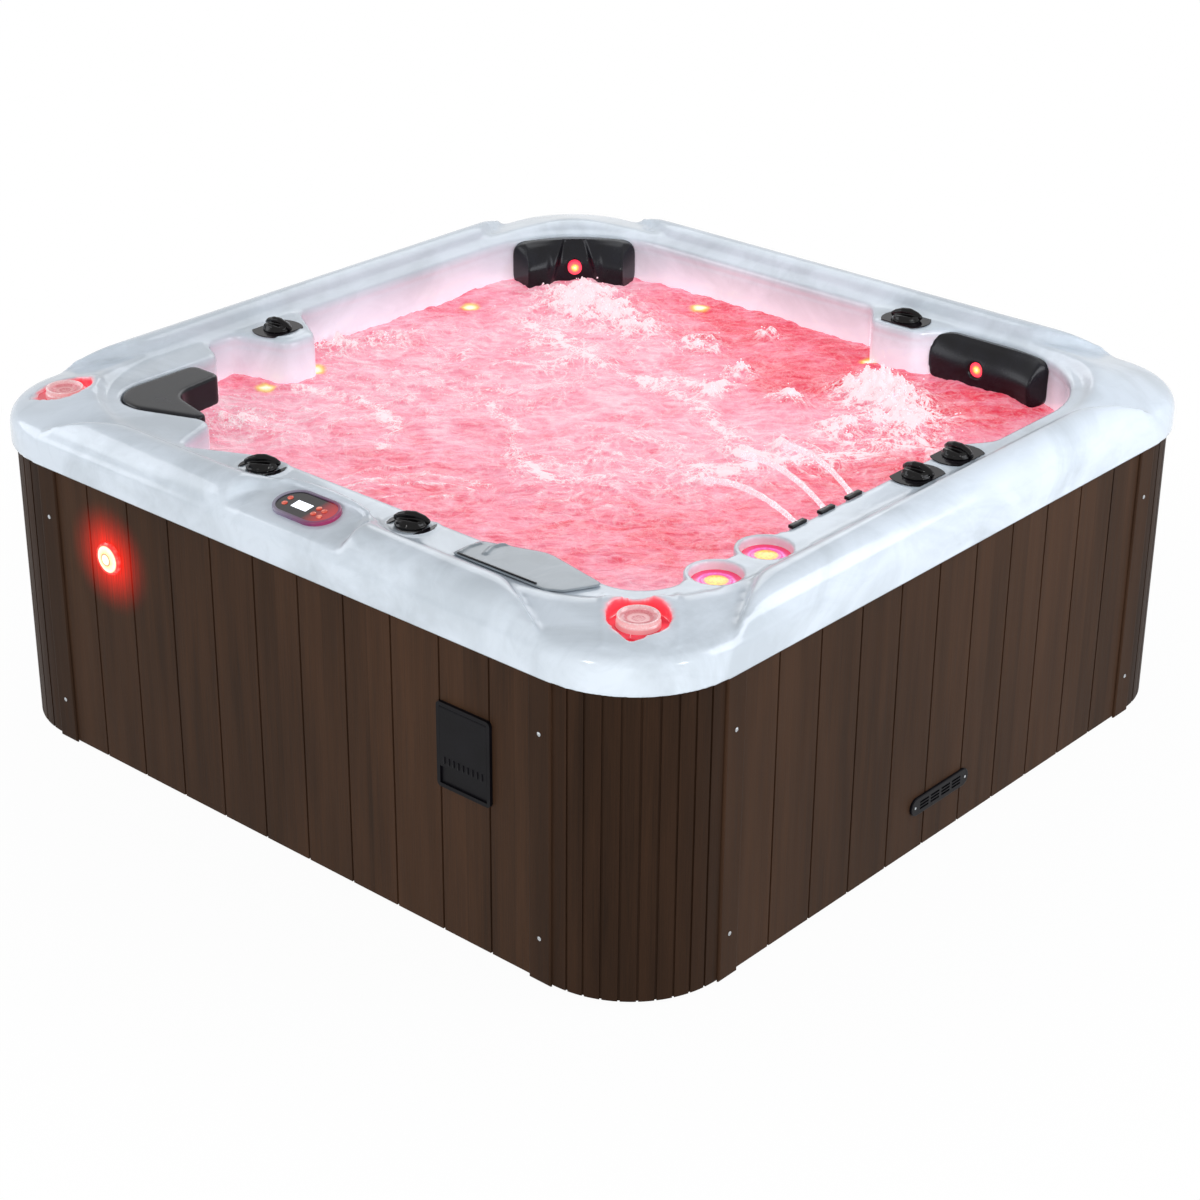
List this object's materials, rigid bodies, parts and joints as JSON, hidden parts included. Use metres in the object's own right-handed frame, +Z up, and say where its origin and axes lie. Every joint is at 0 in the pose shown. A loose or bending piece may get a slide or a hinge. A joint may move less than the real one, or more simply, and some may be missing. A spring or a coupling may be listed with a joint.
{
  "type": "hot tub",
  "caption": "Square outdoor hot tub with moulded acrylic shell, lounge and corner seats, pillows, control keypad, filter lid, cup holders and boarded cabinet.",
  "frame": {"origin": "centre of the base on the ground", "axes": "+Z up, -Y towards the side with the control keypad, +X towards the side with the vent grille"},
  "size_m": [2.1, 2.1, 0.848],
  "materials": {
    "acrylic": "glossy marbled pale blue-white",
    "boards": "matt composite boards with fine upright grain",
    "tambour": "matt composite slats",
    "trim": "matt composite strip",
    "screws": "bright",
    "pan": "matt moulded",
    "timber": "sawn softwood",
    "foam_block": "cellular foam",
    "knob": "glossy black",
    "valve_plate": "silver-white with black crescents",
    "white_pipe": "satin white pipe",
    "keypad_body": "glossy, lit edge",
    "keypad_face": "glossy black face",
    "screen": "lit display",
    "button": "lit translucent cap",
    "speaker_housing": "glossy, lit pink-red",
    "speaker": "glossy translucent cap",
    "cup_lens": "lit faceted lens",
    "clear_plastic": "clear spout",
    "white_plastic": "glossy white",
    "filter_cloth": "pleated filter cloth",
    "lid": "glossy pale grey",
    "pillow": "smooth dark grey moulded foam skin",
    "lit_lens": "lit lens",
    "jet_steel": "polished jet face",
    "black_plastic": "satin black",
    "smoked": "smoked clear cover",
    "module": "pale grey switch body",
    "bezel": "bright ring",
    "red_lens": "lit red lens",
    "pump": "black paint",
    "grey_plastic": "satin grey",
    "heater_steel": "brushed tube"
  },
  "bodies": {
    "tub": {"shell": "acrylic", "panel_front": "boards", "panel_right": "boards", "panel_back": "boards", "panel_left": "boards", "corner_near": "tambour", "corner_right": "tambour", "corner_far": "tambour", "corner_left": "tambour", "trim_strips": "trim", "trim_screws": "screws", "base_pan": "pan", "frame_rails": "timber", "frame_posts": "timber", "shell_supports": "foam_block", "valve_plates": "valve_plate", "valve_bodies": "white_pipe", "keypad_housing": "keypad_body", "keypad_face": "keypad_face", "keypad_screen": "screen", "speaker_housings": "speaker_housing", "cup_holder_lenses": "cup_lens", "waterfall_spouts": "clear_plastic", "filter_housing": "white_plastic", "filter_cartridge": "filter_cloth", "pillow_left": "pillow", "pillow_far": "pillow", "pillow_head": "pillow", "pillow_lights": "lit_lens", "point_lights": "lit_lens", "jets": "jet_steel", "suction_covers": "white_plastic", "breaker_box": "black_plastic", "breaker_module": "module", "vent_grille": "black_plastic", "cabinet_light": "bezel", "cabinet_light_lens": "red_lens", "pumps": "pump", "control_box": "grey_plastic", "heater": "heater_steel", "plumbing": "white_pipe"},
    "knob_front_left": {"knob_front_left": "knob"},
    "knob_front_right": {"knob_front_right": "knob"},
    "knob_left": {"knob_left": "knob"},
    "knob_back": {"knob_back": "knob"},
    "knob_right_near": {"knob_right_near": "knob"},
    "knob_right_far": {"knob_right_far": "knob"},
    "button_light": {"button_light": "button"},
    "button_display": {"button_display": "button"},
    "button_jets": {"button_jets": "button"},
    "button_blower": {"button_blower": "button"},
    "button_cooler": {"button_cooler": "button"},
    "button_warmer": {"button_warmer": "button"},
    "speaker_near": {"speaker_near": "speaker"},
    "speaker_left": {"speaker_left": "speaker"},
    "filter_lid": {"filter_lid": "lid"},
    "weir_flap": {"weir_flap": "white_plastic"},
    "breaker_cover": {"breaker_cover": "smoked"},
    "breaker_toggle": {"breaker_toggle": "black_plastic"}
  },
  "joints": [
    {"name": "knob_front_left_turn", "type": "hinge", "parent": "tub", "child": "knob_front_left", "pos_m": [-0.22102, -0.8631, 0.812], "axis": [0, 0, 1], "range_deg": [0, 180]},
    {"name": "knob_front_right_turn", "type": "hinge", "parent": "tub", "child": "knob_front_right", "pos_m": [0.23415, -0.85628, 0.812], "axis": [0, 0, 1], "range_deg": [0, 180]},
    {"name": "knob_left_turn", "type": "hinge", "parent": "tub", "child": "knob_left", "pos_m": [-0.83895, -0.2541, 0.812], "axis": [0, 0, 1], "range_deg": [0, 120]},
    {"name": "knob_back_turn", "type": "hinge", "parent": "tub", "child": "knob_back", "pos_m": [0.27195, 0.861, 0.812], "axis": [0, 0, 1], "range_deg": [0, 120]},
    {"name": "knob_right_near_turn", "type": "hinge", "parent": "tub", "child": "knob_right_near", "pos_m": [0.86572, 0.07245, 0.812], "axis": [0, 0, 1], "range_deg": [0, 120]},
    {"name": "knob_right_far_turn", "type": "hinge", "parent": "tub", "child": "knob_right_far", "pos_m": [0.86625, 0.2247, 0.812], "axis": [0, 0, 1], "range_deg": [0, 120]},
    {"name": "button_light_press", "type": "slide", "parent": "tub", "child": "button_light", "axis": [0, 0.1564, -0.9877], "range_m": [0, 0.001], "stiffness_N_per_m": 900, "springref_m": -0.0003},
    {"name": "button_display_press", "type": "slide", "parent": "tub", "child": "button_display", "axis": [0, 0.1564, -0.9877], "range_m": [0, 0.001], "stiffness_N_per_m": 900, "springref_m": -0.0003},
    {"name": "button_jets_press", "type": "slide", "parent": "tub", "child": "button_jets", "axis": [0, 0.1564, -0.9877], "range_m": [0, 0.001], "stiffness_N_per_m": 900, "springref_m": -0.0003},
    {"name": "button_blower_press", "type": "slide", "parent": "tub", "child": "button_blower", "axis": [0, 0.1564, -0.9877], "range_m": [0, 0.001], "stiffness_N_per_m": 900, "springref_m": -0.0003},
    {"name": "button_cooler_press", "type": "slide", "parent": "tub", "child": "button_cooler", "axis": [0, 0.1564, -0.9877], "range_m": [0, 0.001], "stiffness_N_per_m": 900, "springref_m": -0.0003},
    {"name": "button_warmer_press", "type": "slide", "parent": "tub", "child": "button_warmer", "axis": [0, 0.1564, -0.9877], "range_m": [0, 0.001], "stiffness_N_per_m": 900, "springref_m": -0.0003},
    {"name": "speaker_near_lift", "type": "slide", "parent": "tub", "child": "speaker_near", "axis": [0, 0, 1], "range_m": [0, 0.042]},
    {"name": "speaker_left_lift", "type": "slide", "parent": "tub", "child": "speaker_left", "axis": [0, 0, 1], "range_m": [0, 0.042]},
    {"name": "filter_lid_lift", "type": "slide", "parent": "tub", "child": "filter_lid", "axis": [0, 0, 1], "range_m": [0, 0.09]},
    {"name": "weir_flap_tip", "type": "hinge", "parent": "tub", "child": "weir_flap", "pos_m": [0.556, -0.8045, 0.6594], "axis": [1, 0, 0], "range_deg": [0, 35], "stiffness_Nm_per_rad": 0.15},
    {"name": "breaker_cover_hinge", "type": "hinge", "parent": "tub", "child": "breaker_cover", "pos_m": [0.558, -1.04, 0.5486], "axis": [-1, 0, 0], "range_deg": [0, 90]},
    {"name": "breaker_toggle_flip", "type": "hinge", "parent": "tub", "child": "breaker_toggle", "pos_m": [0.558, -1.007, 0.483], "axis": [-1, 0, 0], "range_deg": [0, 50]}
  ]
}
